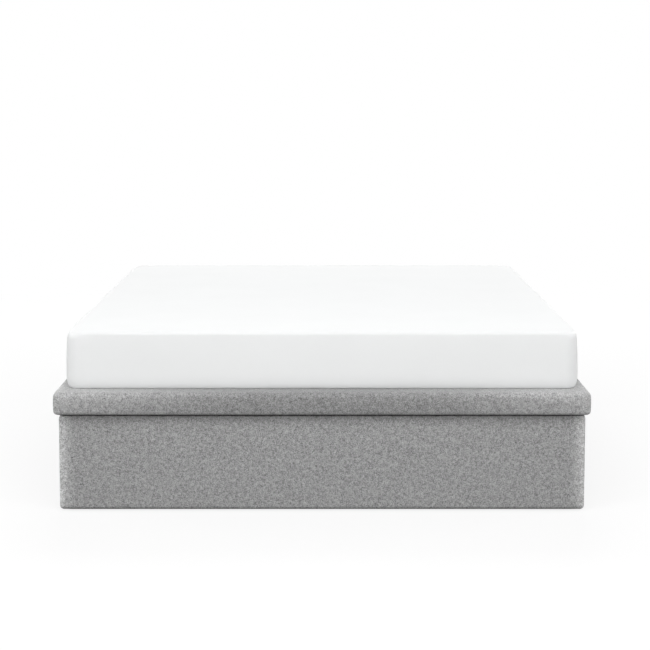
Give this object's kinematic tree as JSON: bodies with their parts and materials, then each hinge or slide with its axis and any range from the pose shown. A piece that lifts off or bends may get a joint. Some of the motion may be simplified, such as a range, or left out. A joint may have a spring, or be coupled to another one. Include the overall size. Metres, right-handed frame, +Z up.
{
  "type": "upholstered ottoman storage bed",
  "caption": "Fabric-covered storage bed: a floor-standing box closed by a padded lid that carries the mattress and lifts at the foot end on side arms with gas springs.",
  "frame": {"origin": "on the floor, under the middle of the box", "axes": "+Z up, +Y towards the head end, +X to the right seen from the foot end"},
  "size_m": [1.555, 1.987, 0.5181],
  "materials": {
    "grey_weave": "neutral grey woven upholstery fabric with a fine mottled grain",
    "white_knit": "smooth white knitted mattress cover",
    "wadding": "white polyester wadding",
    "foam": "cream upholstery foam",
    "black_cloth": "black non-woven underside cloth",
    "felt": "grey needle felt",
    "bare_board": "bare particle board",
    "pine": "planed pine",
    "faced_board": "grey faced board",
    "black_steel": "black powder coat on steel",
    "zinc_steel": "bright zinc plate",
    "ground_steel": "ground hard chrome"
  },
  "bodies": {
    "box": {"foot_board": "bare_board", "head_board": "bare_board", "side_board_left": "bare_board", "side_board_right": "bare_board", "corner_post_foot_left": "pine", "corner_post_foot_right": "pine", "corner_post_head_left": "pine", "corner_post_head_right": "pine", "box_wadding": "wadding", "box_cover": "grey_weave", "floor_beam": "pine", "floor_cleat_left": "pine", "floor_cleat_right": "pine", "floor_panel_foot": "faced_board", "floor_panel_head": "faced_board", "glide_foot_left": "felt", "glide_foot_right": "felt", "glide_head_left": "felt", "glide_head_right": "felt", "base_plate_left": "black_steel", "base_plate_right": "black_steel", "lift_arm_base_pin_left": "zinc_steel", "lift_arm_base_pin_right": "zinc_steel", "guide_arm_base_pin_left": "zinc_steel", "guide_arm_base_pin_right": "zinc_steel", "base_plate_bolt_left_1": "zinc_steel", "base_plate_bolt_left_2": "zinc_steel", "base_plate_bolt_right_1": "zinc_steel", "base_plate_bolt_right_2": "zinc_steel"},
    "lift_arms": {"lift_arm_left": "black_steel", "lift_arm_right": "black_steel"},
    "lid": {"lid_bracket_left": "black_steel", "lid_bracket_right": "black_steel", "lift_arm_lid_pin_left": "zinc_steel", "lift_arm_lid_pin_right": "zinc_steel", "guide_arm_lid_pin_left": "zinc_steel", "guide_arm_lid_pin_right": "zinc_steel", "lid_bracket_bolt_left_1": "zinc_steel", "lid_bracket_bolt_left_2": "zinc_steel", "lid_bracket_bolt_right_1": "zinc_steel", "lid_bracket_bolt_right_2": "zinc_steel", "lid_side_tube_left": "black_steel", "lid_side_tube_right": "black_steel", "lid_foot_tube": "black_steel", "lid_head_tube": "black_steel", "lid_cross_tube_1": "black_steel", "lid_cross_tube_2": "black_steel", "lid_cross_tube_3": "black_steel", "lid_deck": "bare_board", "lid_foam": "foam", "lid_cover": "grey_weave", "lid_under_cloth": "black_cloth", "mattress": "white_knit"},
    "guide_arms": {"guide_arm_left": "black_steel", "guide_arm_right": "black_steel"},
    "gas_cylinders": {"gas_cylinder_left": "black_steel", "gas_cylinder_right": "black_steel"},
    "gas_rods": {"gas_rod_left": "ground_steel", "gas_rod_right": "ground_steel"}
  },
  "joints": [
    {"name": "lid_lift", "type": "hinge", "parent": "box", "child": "lift_arms", "pos_m": [0, 0.5457, 0.1999], "axis": [1, 0, 0], "range_deg": [0, 56]},
    {"name": "lid_tilt", "type": "hinge", "parent": "lift_arms", "child": "lid", "pos_m": [0, 0.8697, 0.2543], "axis": [1, 0, 0], "range_deg": [-90.5, 0]},
    {"name": "guide_swing", "type": "hinge", "parent": "box", "child": "guide_arms", "pos_m": [0, 0.3134, 0.05], "axis": [1, 0, 0], "range_deg": [0, 43]},
    {"name": "cylinder_swing", "type": "hinge", "parent": "box", "child": "gas_cylinders", "pos_m": [0, 0.6, 0.05], "axis": [1, 0, 0], "range_deg": [0, 31.5]},
    {"name": "rod_swing", "type": "hinge", "parent": "lift_arms", "child": "gas_rods", "pos_m": [0, 0.72815, 0.23053], "axis": [1, 0, 0], "range_deg": [-25, 0]}
  ],
  "couplings": [
    {"joint": "lid_tilt", "follows": "lid_lift", "ratio": -1.614},
    {"joint": "guide_swing", "follows": "lid_lift", "ratio": 0.7651},
    {"joint": "cylinder_swing", "follows": "lid_lift", "ratio": 0.56},
    {"joint": "rod_swing", "follows": "lid_lift", "ratio": -0.44}
  ]
}
